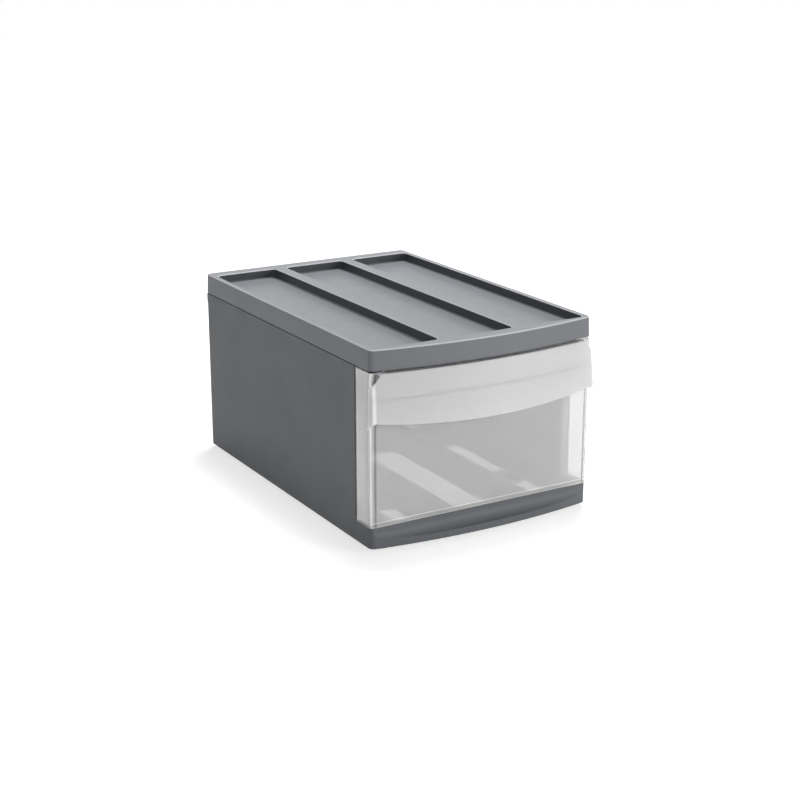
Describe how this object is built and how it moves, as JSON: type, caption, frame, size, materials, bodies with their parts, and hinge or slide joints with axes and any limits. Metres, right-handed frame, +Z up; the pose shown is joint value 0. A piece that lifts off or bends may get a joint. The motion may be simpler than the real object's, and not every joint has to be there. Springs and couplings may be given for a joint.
{
  "type": "stackable drawer box",
  "caption": "Stackable drawer box: grey housing on pads, cover with three stacking troughs, and a clear drawer that slides out by a bowed frosted grip.",
  "frame": {"origin": "middle of the footprint, grip included, at the level of the pads' treads", "axes": "+Z up, the front of the drawer faces -Y, X across the box"},
  "size_m": [0.2594, 0.3952, 0.203],
  "materials": {
    "housing_plastic": "satin, fine texture",
    "cover_plastic": "satin, fine texture",
    "drawer_clear": "clear with a slight haze",
    "grip_frosted": "frosted",
    "pad_rubber": "matte"
  },
  "bodies": {
    "housing": {"housing_body": "housing_plastic", "top_cover": "cover_plastic", "pad_front_left": "pad_rubber", "pad_front_right": "pad_rubber", "pad_rear_left": "pad_rubber", "pad_rear_right": "pad_rubber"},
    "drawer": {"drawer": "drawer_clear", "drawer_grip": "grip_frosted"}
  },
  "joints": [
    {"name": "drawer_slide", "type": "slide", "parent": "housing", "child": "drawer", "axis": [0, -1, 0], "range_m": [0, 0.3]}
  ]
}
